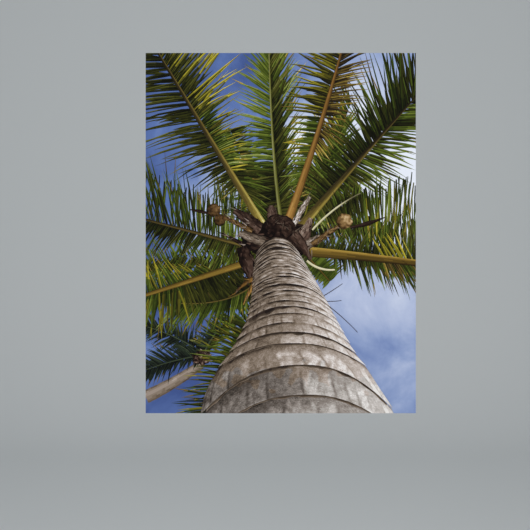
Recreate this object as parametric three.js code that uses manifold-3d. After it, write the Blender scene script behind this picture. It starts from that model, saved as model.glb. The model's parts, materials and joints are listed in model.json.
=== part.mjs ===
// Unframed wall print: a thin self-adhesive film, printed to its edges with a coconut palm
// seen from the foot of its trunk. Millimetres, +Z up. The back face lies on the wall, the
// picture faces -Y, and the origin is the centre of the back face.
// The picture's main shapes are thin layers of ink, laid on the film one above another.

import * as THREE from "three";
import { mergeVertices } from "three/addons/utils/BufferGeometryUtils.js";
import Module from "manifold-3d";

const wasm = await Module();
wasm.setup();

// Driving dimensions. Thicknesses are in quarters and sixteenths, so that stacked faces meet exactly.
const SHEET = { width: 685.8, height: 914.4 };
const ADHESIVE = 1 / 16;
const FILM = 1 / 4;
const INK = 1 / 16;
const MARGIN = 0.5; // the ink stops this far inside the film's edge

// The trunk, seen from its foot: it swells at its base, and leans left towards the crown. Each
// station has the height of a ring's ends, the trunk's left and right edge there, how far the ring
// arches up between them, and how much its right end lies above its middle.
const TRUNK_STATIONS = [
  [-640, -230, 350, 140, 8],
  [-540, -214, 318, 132, 8],
  [-450, -200, 279, 118, 8],
  [-400, -190, 250, 92, 6],
  [-345, -160, 218, 62, 2],
  [-300, -126, 187, 53, -2],
  [-230, -88, 150, 45, -6],
  [-166, -75, 115, 37, -4],
  [-106, -70, 83, 41, -5],
  [-52, -61, 51, 41, -6],
  [0, -52, 22, 40, -6],
];
const TRUNK_FOOT = -480; // below the sheet's bottom edge, where it is cut off
const TRUNK_TOP = -12; // height of the uppermost ring's crest
const ARCH_POWER = 2.3; // a ring is flat at its middle and falls off towards the trunk's edges

// The broad ring scars: the height of each one's crest, and its thickness at its left end, middle
// and right end.
const SCARS = [
  { crest: -128, thickness: [1.5, 5, 1.5] },
  { crest: -185, thickness: [12, 7, 1.5] },
  { crest: -250, thickness: [4, 6, 3] },
  { crest: -279, thickness: [2, 4, 2] },
  { crest: -334, thickness: [6, 7, 6] },
  { crest: -410, thickness: [4, 5, 4] },
];
const SCAR_REACH = 0.93; // how far a scar runs to both sides, as a share of the half width

// A side of a frond: the leaflets' angle to the rib at the foot and the tip in degrees, their
// length, and the turn along each of them in degrees, away from the rib's tip when positive.
const side = (foot, tip, length, turn) => ({ foot, tip, length, turn });

// Each frond: the rib's foot, bend and tip, its width at the foot and the tip, its left and right
// sides as it grows, and its colour. Those behind come first.
const FAR_FRONDS = {
  far_frond_upper: {
    rib: [[-196, -306], [-258, -262], [-338, -238]],
    stalk: [8, 3],
    left: side(70, 40, 66, 12),
    right: side(75, 40, 56, 8),
    colour: 0x2b3a1e,
    few: true,
  },
  far_frond_level: {
    rib: [[-200, -310], [-265, -318], [-345, -348]],
    stalk: [7, 3],
    left: side(60, 40, 50, 8),
    right: side(70, 40, 62, 8),
    colour: 0x26331c,
    few: true,
  },
  far_frond_right: {
    rib: [[-192, -300], [-176, -262], [-132, -214]],
    stalk: [7, 3],
    left: side(70, 40, 52, 10),
    right: side(75, 45, 58, 14),
    colour: 0x3a4a20,
    few: true,
  },
};
const FRONDS = {
  frond_behind_upper_left: {
    rib: [[-24, 46], [-96, 150], [-150, 330]],
    stalk: [8, 3],
    left: side(80, 50, 84, 6),
    right: side(80, 50, 84, 6),
    colour: 0x2a3616,
    few: true,
  },
  frond_behind_low_left: {
    rib: [[-56, -50], [-180, -66], [-352, -70]],
    stalk: [8, 3],
    left: side(80, 60, 84, 6),
    right: side(80, 60, 84, 6),
    colour: 0x2c3818,
    few: true,
  },
  frond_behind_left: {
    rib: [[-50, 20], [-176, 104], [-352, 150]],
    stalk: [14, 4],
    left: side(80, 50, 96, 10),
    right: side(80, 50, 100, 6),
    colour: 0x2f3f1c,
  },
  frond_behind_top: {
    rib: [[36, 40], [150, 220], [228, 475]],
    stalk: [14, 4],
    left: side(70, 35, 120, 4),
    right: side(70, 40, 120, 8),
    colour: 0x33421e,
  },
  frond_behind_right: {
    rib: [[50, 6], [170, 26], [352, 30]],
    stalk: [14, 4],
    left: side(85, 55, 104, 4),
    right: side(95, 60, 92, 8),
    colour: 0x3b5220,
  },
  frond_below_right: {
    rib: [[48, -40], [104, -96], [146, -150]],
    stalk: [9, 3],
    left: side(70, 40, 62, 6),
    right: side(60, 35, 54, 6),
    colour: 0x42601f,
    few: true,
  },
  frond_below_left: {
    rib: [[-40, -130], [-92, -290], [-168, -474]],
    stalk: [12, 6],
    left: side(60, 40, 52, 4),
    right: side(82, 60, 112, 6),
    colour: 0x5f7a22,
  },
  frond_top: {
    rib: [[0, 38], [-24, 190], [-30, 475]],
    stalk: [10, 4],
    left: side(92, 34, 150, 8),
    right: side(60, 22, 122, 2),
    colour: 0x4d6a22,
  },
  frond_top_left: {
    rib: [[-46, 21], [-161, 206], [-322, 475]],
    stalk: [17, 6],
    left: side(82, 54, 196, 10),
    right: side(112, 54, 146, 2),
    colour: 0x46591f,
  },
  frond_left: {
    rib: [[-98, -30], [-196, -4], [-350, 36]],
    stalk: [12, 6],
    left: side(92, 66, 112, 6),
    right: side(84, 66, 146, -6),
    colour: 0x2f4420,
  },
  frond_low_curved: {
    rib: [[-66, -128], [-130, -186], [-262, -178]],
    stalk: [6, 3],
    left: side(34, 78, 108, 4),
    right: side(84, 22, 150, -10),
    colour: 0x5d7c26,
  },
  frond_lower_left: {
    rib: [[-84, -74], [-196, -110], [-352, -160]],
    stalk: [20, 9],
    left: side(66, 54, 122, 8),
    right: side(62, 86, 88, 10),
    colour: 0x768228,
  },
  frond_upper_right: {
    rib: [[42, 6], [174, 160], [352, 356]],
    stalk: [20, 6],
    left: side(80, 52, 184, -4),
    right: side(74, 44, 140, -10),
    colour: 0x33481f,
  },
  frond_old: {
    rib: [[20, 24], [98, 230], [162, 475]],
    stalk: [19, 7],
    left: side(88, 74, 108, -6),
    right: side(66, 48, 120, 4),
    colour: 0x7d7426,
  },
  frond_hanging: {
    rib: [[80, 8], [190, 130], [352, 136]],
    stalk: [7, 3],
    left: side(70, 40, 88, 6),
    right: side(118, 84, 156, 6),
    colour: 0x4b6a25,
  },
  frond_right: {
    rib: [[64, -47], [200, -58], [352, -77]],
    stalk: [26, 16],
    left: side(104, 98, 84, -8),
    right: side(104, 46, 112, 0),
    colour: 0x56741f,
  },
};
const LEAFLETS_A_SIDE = 11;
const FEW_LEAFLETS = 8; // on the small and the far fronds
const LEAFLET_SHARE = 0.6; // a leaflet's width as a share of the spacing between leaflets
const FIRST_LEAFLET = 0.1; // share of the rib that stays bare at its foot
const RIB_STEPS = 10;

// Long pieces that lie along a bend: its start, middle and end, and the width at each of them.
const FAR_TRUNK = {
  path: [[-343, -416], [-280, -388], [-202, -334]],
  widths: [34, 29, 22],
  colour: 0xb0a595,
};
const STRIPS = {
  sheath_shadow: {
    path: [[-78, -38], [-118, -16], [-154, 1]],
    widths: [14, 9, 2],
    colour: 0x261713,
  },
  sheath_upper_left: {
    path: [[-50, 10], [-84, 34], [-118, 58]],
    widths: [24, 22, 8],
    colour: 0x5c4a42,
  },
  sheath_left: {
    path: [[-40, -22], [-76, -12], [-106, 0]],
    widths: [26, 22, 14],
    colour: 0xa58a6a,
  },
  sheath_dark: {
    path: [[-98, -34], [-86, -70], [-70, -128]],
    widths: [30, 42, 20],
    colour: 0x3c3634,
  },
  sheath_right: {
    path: [[46, -34], [64, 2], [76, 38]],
    widths: [34, 28, 12],
    colour: 0x6e5a4c,
  },
  sheath_knob: {
    path: [[58, -34], [82, -24], [100, -8]],
    widths: [20, 24, 12],
    colour: 0x7d6e64,
  },
  fibre_skirt: {
    path: [[16, 6], [52, -16], [76, -68]],
    widths: [34, 28, 8],
    colour: 0x32201a,
  },
  nub: {
    path: [[-18, 30], [-23, 52], [-24, 70]],
    widths: [28, 25, 12],
    colour: 0x5f463c,
  },
  flower_stalk: {
    path: [[32, 20], [50, 56], [74, 92]],
    widths: [10, 12, 8],
    colour: 0xb39a8a,
  },
  nut_stalk_left: {
    path: [[-72, 6], [-112, 24], [-152, 46]],
    widths: [16, 12, 6],
    colour: 0x6e4226,
  },
  nut_stalk_right: {
    path: [[80, -30], [110, -6], [152, 20]],
    widths: [18, 15, 8],
    colour: 0x784624,
  },
  flower_spike_left: {
    path: [[-182, 50], [-206, 56], [-232, 60]],
    widths: [5, 9, 2],
    colour: 0x3a2a22,
  },
  flower_spike_right: {
    path: [[176, 14], [222, 22], [264, 40]],
    widths: [6, 12, 2],
    colour: 0x3d2c22,
  },
  dead_blade_upper: {
    path: [[-70, -116], [-98, -130], [-118, -154]],
    widths: [14, 9, 2],
    colour: 0x8c5430,
  },
  dead_blade_lower: {
    path: [[-68, -130], [-84, -154], [-95, -182]],
    widths: [12, 9, 2],
    colour: 0xb0642c,
  },
  curled_stalk: {
    path: [[66, -70], [96, -97], [137, -93]],
    widths: [6, 6, 4],
    colour: 0xd9cfae,
  },
};
const STRIP_STEPS = 10;

// Round pieces: centre, half width and half height.
const CROWN_SHADE = { centre: [-4, -18], radii: [92, 44], colour: 0x241b14 };
const FAR_CROWN = { centre: [-200, -316], radii: [25, 21], colour: 0x4a3a30 };
const ROUNDS = {
  crown_fibre: { centre: [-6, 12], radii: [36, 28], colour: 0x35211a },
  coconut_lower: { centre: [-155, 33], radii: [15, 15], colour: 0x7a6238 },
  coconut_upper: { centre: [-170, 58], radii: [17, 17], colour: 0x6f5b34 },
  coconut_right: { centre: [162, 30], radii: [20, 20], colour: 0x8a6a40 },
};
const ROUND_STEPS = 24;

const COLOURS = { film: 0x8b9ac4, adhesive: 0xe4e2dc, trunk: 0xa99c8d, ring: 0x4a382e };
const INK_ROUGHNESS = 0.62;
const BACK_ROUGHNESS = 0.9;

const vector = ([x, y]) => new THREE.Vector2(x, y);
const bend = (points) => new THREE.QuadraticBezierCurve(...points.map(vector));
const mix = (a, b, share) => a + (b - a) * share;
const clamp = (value) => Math.min(Math.max(value, 0), 1);

function pointAt(start, angle, distance) {
  return new THREE.Vector2(
    start.x + Math.cos(angle) * distance,
    start.y + Math.sin(angle) * distance,
  );
}

// A flat plate of one ink layer's thickness, from its outline.
function plate(outline, thickness) {
  return new THREE.ExtrudeGeometry(new THREE.Shape(outline), {
    depth: thickness,
    bevelEnabled: false,
  });
}

function solidOf(geometry) {
  const bare = geometry.clone();
  bare.deleteAttribute("normal");
  bare.deleteAttribute("uv");
  const merged = mergeVertices(bare, 1e-4);
  return new wasm.Manifold(
    new wasm.Mesh({
      numProp: 3,
      vertProperties: merged.attributes.position.array,
      triVerts: new Uint32Array(merged.index.array),
    }),
  );
}

function geometryOf(solid) {
  const { vertProperties, triVerts } = solid.getMesh();
  const geometry = new THREE.BufferGeometry();
  geometry.setAttribute("position", new THREE.BufferAttribute(vertProperties, 3));
  geometry.setIndex(new THREE.BufferAttribute(triVerts, 1));
  geometry.computeVertexNormals();
  return geometry;
}

const printedArea = solidOf(
  new THREE.BoxGeometry(SHEET.width - 2 * MARGIN, SHEET.height - 2 * MARGIN, 1),
);

// What remains of the outlines on the sheet, as one body.
function onSheet(outlines) {
  const joined = outlines
    .map((outline) => solidOf(plate(outline, INK)))
    .reduce((all, one) => all.add(one));
  const bodies = printedArea.intersect(joined).decompose();
  return bodies.reduce((a, b) => (b.volume() > a.volume() ? b : a));
}

// The outline of a strip along a curve, whose width is a function of the share of its length.
function stripOutline(curve, widthAt, steps) {
  const left = [];
  const right = [];
  for (let i = 0; i <= steps; i += 1) {
    const share = i / steps;
    const point = curve.getPoint(share);
    const heading = curve.getTangent(share).angle();
    const half = widthAt(share) / 2;
    left.push(pointAt(point, heading + Math.PI / 2, half));
    right.push(pointAt(point, heading - Math.PI / 2, half));
  }
  return [...left, ...right.reverse()];
}

// A leaflet: a narrow blade, widest near its root, that turns a little on its way to a point.
function leafletOutline(root, heading, length, width, turn) {
  const belly = pointAt(root, heading, length * 0.4);
  const tip = pointAt(belly, heading + turn, length * 0.6);
  const across = heading + Math.PI / 2;
  return [
    pointAt(root, across, -width * 0.38),
    pointAt(belly, across, -width * 0.5),
    tip,
    pointAt(belly, across, width * 0.5),
    pointAt(root, across, width * 0.38),
  ];
}

// Leaflets are longest before the rib's middle, and shorter at both ends.
const fullness = (share) => Math.sin(Math.PI * (0.2 + 0.68 * share)) ** 0.6;

function frondOutlines({ rib, stalk, left, right, few }) {
  const curve = bend(rib);
  const count = few ? FEW_LEAFLETS : LEAFLETS_A_SIDE;
  const spacing = (curve.getLength() * (1 - FIRST_LEAFLET)) / count;
  const outlines = [stripOutline(curve, (share) => mix(...stalk, share), RIB_STEPS)];
  for (let i = 0; i < count; i += 1) {
    const share = mix(FIRST_LEAFLET, 1, (i + 0.5) / count);
    const root = curve.getPoint(share);
    const growth = curve.getTangent(share).angle();
    for (const [leaves, way] of [[left, 1], [right, -1]]) {
      const spread = THREE.MathUtils.degToRad(mix(leaves.foot, leaves.tip, share));
      const turn = THREE.MathUtils.degToRad(leaves.turn);
      outlines.push(
        leafletOutline(
          root,
          growth + way * spread,
          leaves.length * fullness(share),
          spacing * LEAFLET_SHARE * Math.sin(spread),
          way * turn,
        ),
      );
    }
  }
  return outlines;
}

// The trunk at a height of a ring's ends, on smooth curves through its stations.
function trunkAt(height) {
  const last = TRUNK_STATIONS.length - 1;
  const above = TRUNK_STATIONS.findIndex(([level]) => level > height);
  const index = above < 0 ? last - 1 : Math.max(above - 1, 0);
  const [before, after] = [TRUNK_STATIONS[index], TRUNK_STATIONS[index + 1]];
  const lower = TRUNK_STATIONS[Math.max(index - 1, 0)];
  const upper = TRUNK_STATIONS[Math.min(index + 2, last)];
  const gap = after[0] - before[0];
  const share = clamp((height - before[0]) / gap);
  const ease = share * share * (3 - 2 * share);
  const [left, right, arch, tilt] = [1, 2, 3, 4].map((column) => {
    const leaving = ((after[column] - lower[column]) / (after[0] - lower[0])) * gap;
    const arriving = ((upper[column] - before[column]) / (upper[0] - before[0])) * gap;
    const swerve = share * (1 - share) * ((1 - share) * leaving - share * arriving);
    return mix(before[column], after[column], ease) + swerve;
  });
  return { left, right, arch, tilt };
}

// A ring's point: across runs from -1 at the trunk's left edge to 1 at its right.
function ringPoint(height, across) {
  const { left, right, arch, tilt } = trunkAt(height);
  const rise = arch * (1 - Math.abs(across) ** ARCH_POWER) + tilt * across;
  return new THREE.Vector2(mix(left, right, (across + 1) / 2), height + rise);
}

// The height of the ends of the ring whose crest is at a given height, by halving an interval.
function edgeOfCrest(crest) {
  let low = 2 * TRUNK_FOOT;
  let high = crest;
  for (let i = 0; i < 40; i += 1) {
    const middle = (low + high) / 2;
    if (middle + trunkAt(middle).arch > crest) high = middle;
    else low = middle;
  }
  return (low + high) / 2;
}

function trunkOutline() {
  const steps = 20;
  const shoulder = edgeOfCrest(TRUNK_TOP);
  const left = [];
  const right = [];
  const top = [];
  for (let i = 0; i <= steps; i += 1) {
    const height = mix(TRUNK_FOOT, shoulder, i / steps);
    left.push(ringPoint(height, -1));
    right.push(ringPoint(height, 1));
    top.push(ringPoint(shoulder, mix(-1, 1, i / steps)));
  }
  return [...left, ...top.slice(1, -1), ...right.reverse()];
}

// A ring scar: a dark band under a ring.
function scarOutline({ crest, thickness }) {
  const steps = 16;
  const thicknessAt = widthAlong(thickness);
  const height = edgeOfCrest(crest);
  const upper = [];
  const lower = [];
  for (let i = 0; i <= steps; i += 1) {
    const share = i / steps;
    const point = ringPoint(height, mix(-SCAR_REACH, SCAR_REACH, share));
    upper.push(point);
    lower.push(new THREE.Vector2(point.x, point.y - thicknessAt(share)));
  }
  return [...upper, ...lower.reverse()];
}

function roundOutline({ centre: [x, y], radii: [across, up] }) {
  return new THREE.EllipseCurve(x, y, across, up).getPoints(ROUND_STEPS).slice(0, -1);
}

function printedMesh(name, geometry, colour, level) {
  const material = new THREE.MeshStandardMaterial({
    color: colour,
    roughness: INK_ROUGHNESS,
    metalness: 0,
  });
  const mesh = new THREE.Mesh(geometry, material);
  mesh.name = name;
  mesh.position.z = level;
  return mesh;
}

function slab(thickness) {
  const geometry = new THREE.BoxGeometry(SHEET.width, SHEET.height, thickness);
  geometry.translate(0, 0, thickness / 2);
  return geometry;
}

function widthAlong([start, middle, end]) {
  return (share) => (share < 0.5 ? mix(start, middle, share * 2) : mix(middle, end, share * 2 - 1));
}

// The sheet lies in the group's XY plane with its picture towards +Z, and the group stands it up.
const print = new THREE.Group();
print.rotation.x = Math.PI / 2;

const adhesive = printedMesh("adhesive", slab(ADHESIVE), COLOURS.adhesive, 0);
adhesive.material.roughness = BACK_ROUGHNESS;
print.add(adhesive);
print.add(printedMesh("film", slab(FILM), COLOURS.film, ADHESIVE));

// Each ink lies on the highest of the inks that it crosses, and no lower than a given layer.
const laid = [];
function lay(name, outlines, colour, lowest = 0) {
  const solid = onSheet(outlines);
  const crossed = laid.filter((one) => one.solid.intersect(solid).volume() > 0);
  const layer = Math.max(lowest, ...crossed.map((one) => one.layer + 1));
  laid.push({ solid, layer });
  print.add(printedMesh(name, geometryOf(solid), colour, ADHESIVE + FILM + layer * INK));
}

function layStrip(name, { path, widths, colour }, lowest) {
  lay(name, [stripOutline(bend(path), widthAlong(widths), STRIP_STEPS)], colour, lowest);
}

function layFronds(fronds) {
  for (const [name, frond] of Object.entries(fronds)) {
    lay(name, frondOutlines(frond), frond.colour);
  }
}

layStrip("far_trunk", FAR_TRUNK);
layFronds(FAR_FRONDS);
lay("far_crown", [roundOutline(FAR_CROWN)], FAR_CROWN.colour);
layFronds(FRONDS);
// The crown's pieces lie over all the leaves.
const overLeaves = Math.max(...laid.map((one) => one.layer)) + 1;
lay("crown_shade", [roundOutline(CROWN_SHADE)], CROWN_SHADE.colour, overLeaves);
for (const [name, strip] of Object.entries(STRIPS)) {
  layStrip(name, strip, overLeaves);
}
for (const [name, round] of Object.entries(ROUNDS)) {
  lay(name, [roundOutline(round)], round.colour, overLeaves);
}
lay("trunk", [trunkOutline()], COLOURS.trunk, overLeaves);
SCARS.forEach((scar, index) => {
  lay(`ring_scar_${index + 1}`, [scarOutline(scar)], COLOURS.ring);
});

export default print;
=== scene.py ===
"""Looks of an unframed wall print: a thin matte self-adhesive film, printed to its edges with a
coconut palm seen from the foot of its trunk. The picture is drawn by rule, shape by shape, in
flat printed inks that lie one above another on the film."""

import bisect
import json
import math
import random

import bpy
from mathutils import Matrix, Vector, noise


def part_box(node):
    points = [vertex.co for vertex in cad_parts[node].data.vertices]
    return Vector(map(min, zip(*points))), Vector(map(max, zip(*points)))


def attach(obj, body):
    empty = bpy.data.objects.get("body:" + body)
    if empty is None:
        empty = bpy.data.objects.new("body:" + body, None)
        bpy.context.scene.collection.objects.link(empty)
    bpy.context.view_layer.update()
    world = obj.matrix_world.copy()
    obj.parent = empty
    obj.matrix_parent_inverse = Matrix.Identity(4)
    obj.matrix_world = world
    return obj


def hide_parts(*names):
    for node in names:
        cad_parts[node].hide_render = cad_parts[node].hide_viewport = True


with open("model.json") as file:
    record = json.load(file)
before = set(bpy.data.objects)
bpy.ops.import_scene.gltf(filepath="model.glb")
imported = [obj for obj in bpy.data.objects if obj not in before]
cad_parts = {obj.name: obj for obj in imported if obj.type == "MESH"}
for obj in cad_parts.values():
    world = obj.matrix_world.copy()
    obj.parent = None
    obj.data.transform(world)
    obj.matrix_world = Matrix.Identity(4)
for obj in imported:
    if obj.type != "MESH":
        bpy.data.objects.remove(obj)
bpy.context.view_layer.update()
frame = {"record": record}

MM = 0.001
film_low, film_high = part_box("film")
HALF_WIDTH = (film_high.x - film_low.x) / 2 / MM
HALF_HEIGHT = (film_high.z - film_low.z) / 2 / MM
frame_slots = {part["node"]: part["material_slot"] for part in frame["record"]["subparts"]}


# Colours and materials

def linear(hex_colour):
    """An sRGB hex colour as linear RGBA."""
    parts = [int(hex_colour[i : i + 2], 16) / 255 for i in (0, 2, 4)]
    return [p / 12.92 if p <= 0.04045 else ((p + 0.055) / 1.055) ** 2.4 for p in parts] + [1.0]


def blend_hex(first, second, share):
    """The hex colour between two others."""
    pairs = [(int(first[i : i + 2], 16), int(second[i : i + 2], 16)) for i in (0, 2, 4)]
    return "".join(f"{round(a + (b - a) * share):02x}" for a, b in pairs)


def add_node(tree, kind, inputs=None, **settings):
    """Adds a node with its settings, and gives each named input a value or a link."""
    node = tree.nodes.new(kind)
    for name, value in settings.items():
        setattr(node, name, value)
    for name, value in (inputs or {}).items():
        if isinstance(value, bpy.types.NodeSocket):
            tree.links.new(value, node.inputs[name])
        else:
            node.inputs[name].default_value = value
    return node


def new_material(name):
    """An empty material, and its node tree."""
    material = bpy.data.materials.new(name)
    material.use_nodes = True
    material.node_tree.nodes.clear()
    return material, material.node_tree


FILM_IOR = 1.5  # soft PVC film and dried print ink
FILM_ROUGHNESS = 0.68  # matte, calendered
EDGE_ROUGHNESS = 0.6  # cut, so a little smoother
ADHESIVE_ROUGHNESS = 0.85  # dull and slightly grainy
FILM_SHINE = 0.05
EMBOSS_MM = 1.1  # spacing of the matte film's fine emboss, drawn coarser than the real 0.1 mm
EMBOSS_DEPTH_MM = 0.006
EMBOSS_STRENGTH = 0.6


def film_surface(tree, colour, roughness=FILM_ROUGHNESS):
    """Matte printed film: an even, nearly dull surface with a faint emboss that breaks up gloss."""
    place = add_node(tree, "ShaderNodeTexCoord")
    emboss = add_node(
        tree,
        "ShaderNodeTexNoise",
        {"Vector": place.outputs["Object"], "Scale": 1 / (EMBOSS_MM * MM), "Detail": 2.0},
    )
    bump = add_node(
        tree,
        "ShaderNodeBump",
        {"Height": emboss.outputs["Fac"], "Distance": EMBOSS_DEPTH_MM * MM,
         "Strength": EMBOSS_STRENGTH},
    )
    surface = add_node(
        tree,
        "ShaderNodeBsdfPrincipled",
        {
            "Base Color": colour,
            "Roughness": roughness,
            "IOR": FILM_IOR,
            "Specular IOR Level": FILM_SHINE,
            "Normal": bump.outputs["Normal"],
        },
    )
    add_node(tree, "ShaderNodeOutputMaterial", {"Surface": surface.outputs["BSDF"]})


# Printed inks: each palette runs from its darkest tone to its lightest.
PALETTES = {
    "leaf": ["0a0b04", "161807", "24260b", "353611", "49491a", "5f5f2b", "7b7b4c", "a0a174"],
    "green": ["0c0f05", "192008", "29320d", "3d4915", "566320", "707a34", "8e9558", "b2b583"],
    "lime": ["16160a", "2c2a0d", "474313", "666019", "877f22", "a79b31", "c2b348", "d9ca70"],
    "old": ["14100a", "282013", "413519", "5d4c1f", "786429", "937f38", "ad9a50", "c6b77a"],
    "far": ["0a0d0b", "141a15", "222b20", "343d2b", "4a5036", "64694a", "838366"],
    "rib": ["1c170c", "3a3118", "5c4e22", "7e6d30", "9e8f48", "b8ad70", "d8d0a6"],
    "amber": ["241a0a", "443413", "65501e", "856a2c", "9e813a", "b49a56", "cab67e", "dccfa2"],
    "ochre": ["1a1008", "382611", "5c401b", "7e5b2b", "9a733b", "b58e56", "cfae80"],
    "pale": ["2a2618", "5e5840", "8e8766", "b4ac8a", "d2cbad", "e4dfc8"],
    "bark": ["1c1613", "352b24", "4f4338", "695b4e", "837568", "9d9086", "b8ada6", "d5cfcb"],
    "grey_bark": ["1b1715", "342e2a", "4e4640", "69615b", "857c75", "a09993", "bbb5b0", "d8d4d0"],
    "husk": ["191009", "31220f", "503a20", "705634", "8c7048", "ab8f68", "cbb491"],
    "fibre": ["0c0706", "190f0c", "2b1d17", "423129", "5e4b40", "806d60", "a8978c"],
}
TONES = 12  # inks mixed from each palette


def printed_ink(palette, tone):
    """Dried matte print ink of one tone, even in colour, on embossed film."""
    anchors = PALETTES[palette]
    place = tone / (TONES - 1) * (len(anchors) - 1)
    index = min(int(place), len(anchors) - 2)
    colour = blend_hex(anchors[index], anchors[index + 1], place - index)
    material, tree = new_material(f"{palette}_ink_{tone:02d}")
    film_surface(tree, linear(colour))
    return material


inks = {name: [printed_ink(name, tone) for tone in range(TONES)] for name in PALETTES}


# Drawing on the sheet, in millimetres from its middle: x to the right and z up.

SMALLEST_AREA = 0.02  # square millimetres


def mix(a, b, share):
    return a + (b - a) * share


def clamp(value, low=0.0, high=1.0):
    return max(low, min(high, value))


def ramp(value, start, end):
    """How far a value has come from start to end, from 0 to 1."""
    return clamp((value - start) / (end - start))


def mix_three(start, middle, end, share):
    return mix(start, middle, share * 2) if share < 0.5 else mix(middle, end, share * 2 - 1)


def step_from(point, angle, distance):
    """The point at a distance from another, in a direction given in radians."""
    return (point[0] + math.cos(angle) * distance, point[1] + math.sin(angle) * distance)


def along(path, share):
    """The point and heading of a bend given by its start, middle and end."""
    (x0, z0), (x1, z1), (x2, z2) = path
    first, second, third = (1 - share) ** 2, 2 * share * (1 - share), share**2
    point = (first * x0 + second * x1 + third * x2, first * z0 + second * z1 + third * z2)
    run = (1 - share) * (x1 - x0) + share * (x2 - x1)
    rise = (1 - share) * (z1 - z0) + share * (z2 - z1)
    return point, math.atan2(rise, run)


def path_length(path, steps=24):
    points = [along(path, i / steps)[0] for i in range(steps + 1)]
    return sum(math.dist(a, b) for a, b in zip(points, points[1:]))


def cut_to_sheet(corners):
    """The part of a small convex shape that lies on the sheet."""
    for axis, limit, keep in (
        (0, HALF_WIDTH, 1),
        (0, -HALF_WIDTH, -1),
        (1, HALF_HEIGHT, 1),
        (1, -HALF_HEIGHT, -1),
    ):
        if all(keep * corner[axis] <= keep * limit for corner in corners):
            continue
        kept = []
        for a, b in zip(corners, corners[1:] + corners[:1]):
            inside_a = keep * a[axis] <= keep * limit
            inside_b = keep * b[axis] <= keep * limit
            if inside_a:
                kept.append(a)
            if inside_a != inside_b:
                share = (limit - a[axis]) / (b[axis] - a[axis])
                kept.append((mix(a[0], b[0], share), mix(a[1], b[1], share)))
        corners = kept
        if len(corners) < 3:
            return []
    return corners


def lump(x, z, size, seed):
    """Smooth noise from about -1 to 1, with lumps of a size in millimetres."""
    return noise.noise(Vector((x / size, z / size, seed * 7.31)))


class Ink:
    """One layer of ink: flat shapes at the place of a node of the frame."""

    def __init__(self, node):
        low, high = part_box(node)
        self.node = node
        self.back, self.front = high.y, low.y
        self.points = []
        self.faces = []
        self.tones = []

    def add(self, corners, palette, tone, lift=0.5):
        """Adds a convex shape. tone runs from 0, dark, to 1, and lift from 0, underneath, to 1."""
        kept = cut_to_sheet(corners)
        if not kept:
            return
        area = sum(a[0] * b[1] - b[0] * a[1] for a, b in zip(kept, kept[1:] + kept[:1]))
        if abs(area) < SMALLEST_AREA:
            return
        if area < 0:
            kept = kept[::-1]
        depth = mix(self.back, self.front, clamp(lift, 0.02, 0.98))
        first = len(self.points)
        self.points += [(x * MM, depth, z * MM) for x, z in kept]
        self.faces.append(tuple(range(first, first + len(kept))))
        self.tones.append((palette, round(clamp(tone) * (TONES - 1))))

    def piece(self, name, slot):
        """The layer's mesh, in place of its node."""
        mesh = bpy.data.meshes.new(name)
        mesh.from_pydata(self.points, [], self.faces)
        used = sorted(set(self.tones))
        for palette, tone in used:
            mesh.materials.append(inks[palette][tone])
        mesh.polygons.foreach_set("material_index", [used.index(tone) for tone in self.tones])
        mesh.update()
        return place_piece(name, mesh, slot, self.node)


def place_piece(name, mesh, slot, *nodes):
    """A piece of the print, riding its one body in place of its nodes."""
    piece = bpy.data.objects.new(name, mesh)
    bpy.context.scene.collection.objects.link(piece)
    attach(piece, "root")
    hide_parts(*nodes)
    return piece


# Fronds

def row(inner, outer, spacing, *stations, width=1.0, fold=0.1, scatter=4, stagger=0, shortest=0.72):
    """One side of a frond: its leaflets' palettes near the rib and at the tips, their spacing,
    how wide they are against the usual, how much lighter their upper half is than the lower, the
    scatter of their headings in degrees, how far their roots stand off the rib's line, and the
    shortest one's share of the usual length. A station has its share of the rib's length, and the
    leaflets' heading in degrees, length and tones at root and tip there."""
    return {"inner": inner, "outer": outer, "spacing": spacing, "stations": stations,
            "width": width, "fold": fold, "scatter": scatter, "stagger": stagger,
            "shortest": shortest}


def frond(rib, width, look, *rows, shade="left", rib_end=1.0, pale_until=None):
    """A frond: its rib as a bend, the rib's width at foot and tip, its palette with the tone at
    foot and tip, and its rows of leaflets. shade is the way that light falls across the rib,
    rib_end the share of the rib that shows, and pale_until the share that keeps the foot's tone."""
    return {"rib": rib, "width": width, "look": look, "rows": rows, "shade": shade,
            "rib_end": rib_end, "pale_until": pale_until}


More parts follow.
